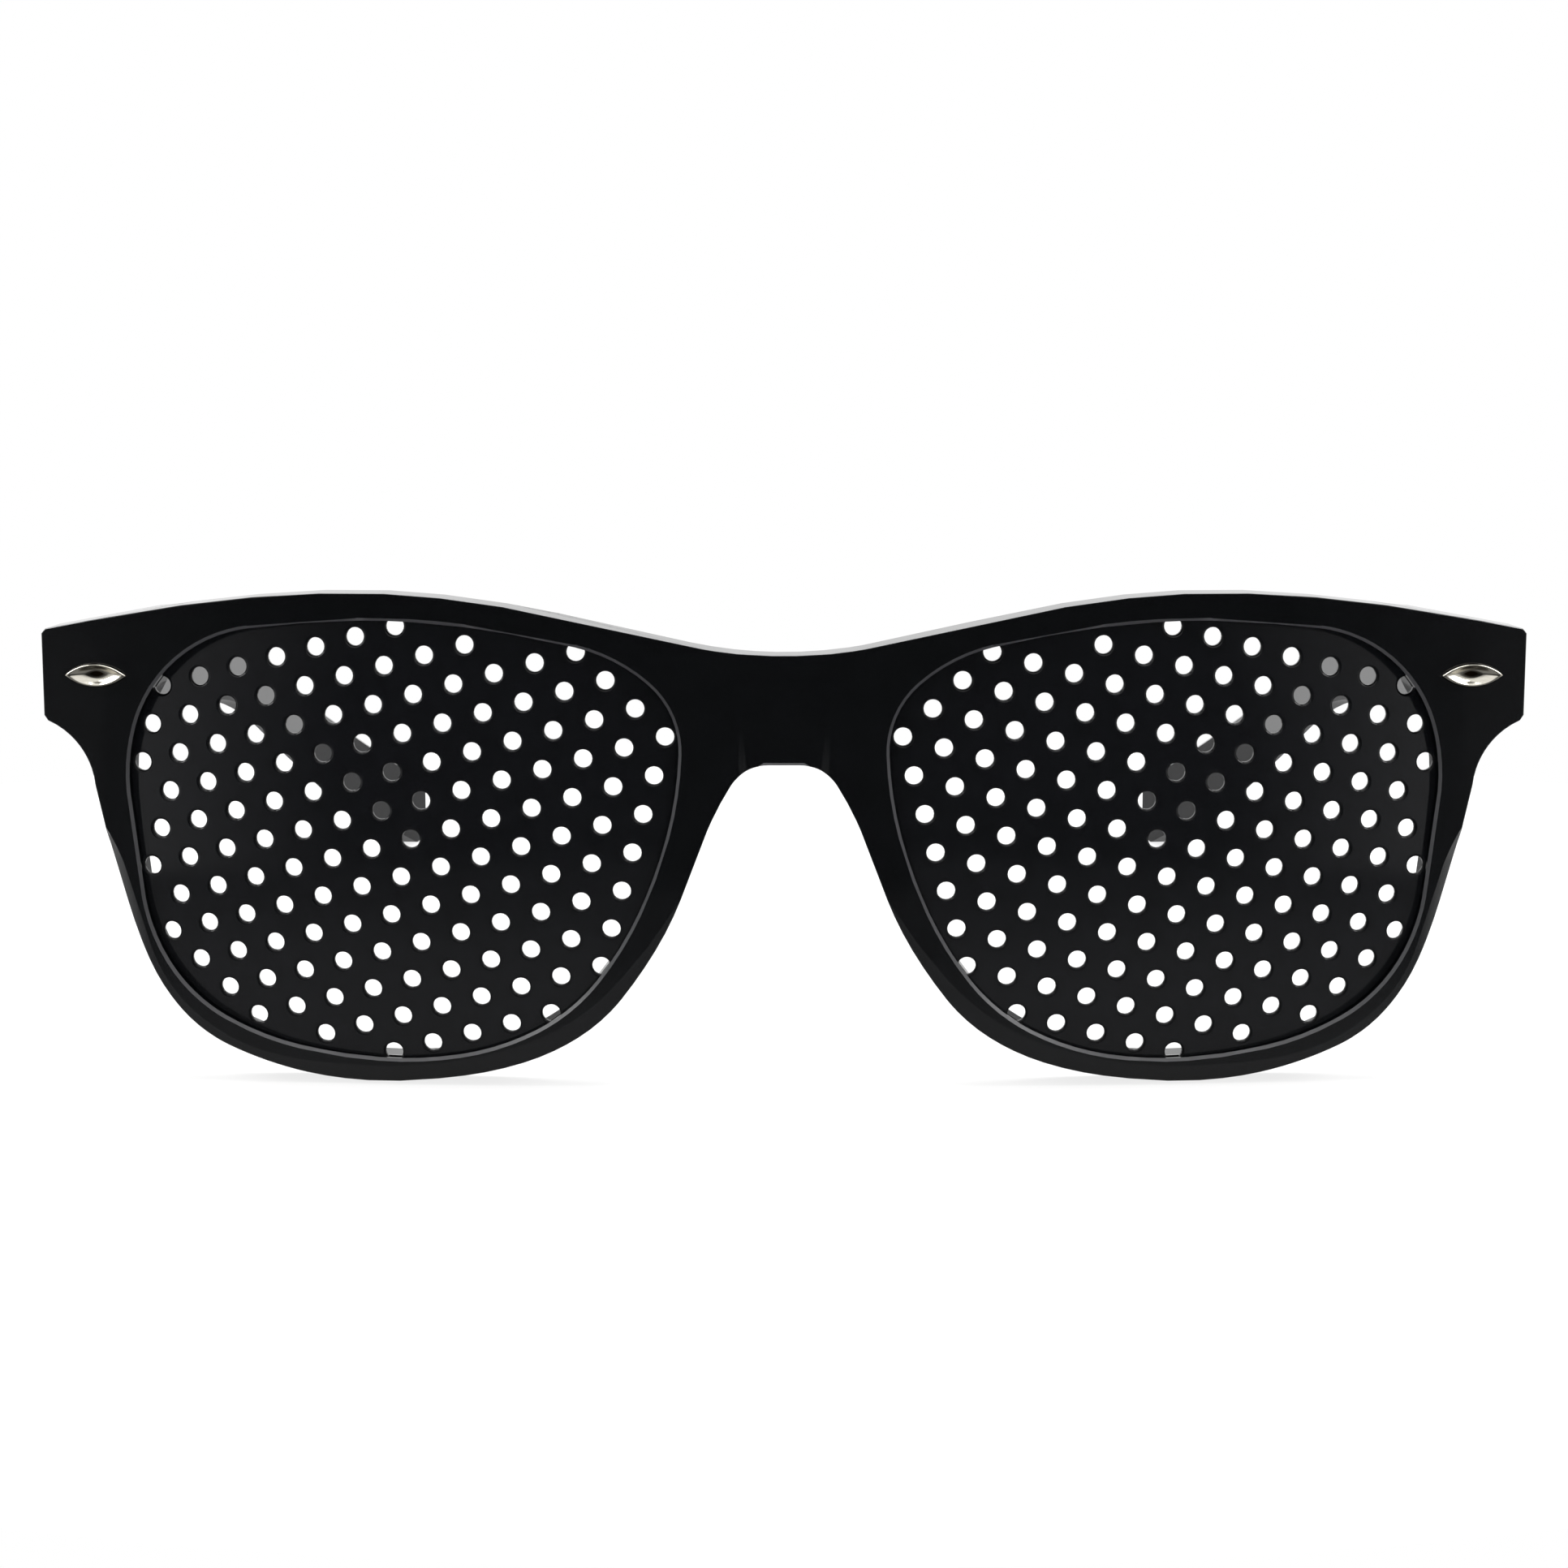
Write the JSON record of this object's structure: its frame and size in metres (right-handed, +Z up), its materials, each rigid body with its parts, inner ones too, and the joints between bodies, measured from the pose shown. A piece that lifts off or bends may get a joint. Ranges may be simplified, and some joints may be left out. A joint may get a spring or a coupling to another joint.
{
  "type": "pinhole glasses",
  "caption": "Folding pinhole glasses: glossy black frame with perforated curved plates in place of lenses, and hinged temples.",
  "frame": {"origin": "on the surface that the glasses stand on, under the middle of their overall width and depth, with the temples open", "axes": "+X to the wearer's left, -Y the way the wearer looks, +Z up"},
  "size_m": [0.145, 0.1533, 0.0484],
  "materials": {
    "gloss_black_plastic": "polished injection-moulded polycarbonate",
    "satin_black_plastic": "smooth moulded polycarbonate sheet",
    "hinge_metal": "nickel-plated stamped steel",
    "polished_trim": "polished metal inlay"
  },
  "bodies": {
    "front": {"front_frame": "gloss_black_plastic", "left_pinhole_plate": "satin_black_plastic", "left_front_hinge_leaf": "hinge_metal", "left_hinge_screw": "hinge_metal", "left_front_trim": "polished_trim", "right_pinhole_plate": "satin_black_plastic", "right_front_hinge_leaf": "hinge_metal", "right_hinge_screw": "hinge_metal", "right_front_trim": "polished_trim"},
    "left_temple_arm": {"left_temple": "gloss_black_plastic", "left_temple_hinge_leaf": "hinge_metal", "left_temple_trim": "polished_trim"},
    "right_temple_arm": {"right_temple": "gloss_black_plastic", "right_temple_hinge_leaf": "hinge_metal", "right_temple_trim": "polished_trim"}
  },
  "joints": [
    {"name": "left_temple_fold", "type": "hinge", "parent": "front", "child": "left_temple_arm", "pos_m": [0.0675, -0.06397, 0.0402], "axis": [0, 0, 1], "range_deg": [0, 84]},
    {"name": "right_temple_fold", "type": "hinge", "parent": "front", "child": "right_temple_arm", "pos_m": [-0.0675, -0.06397, 0.0402], "axis": [0, 0, -1], "range_deg": [0, 78]}
  ]
}
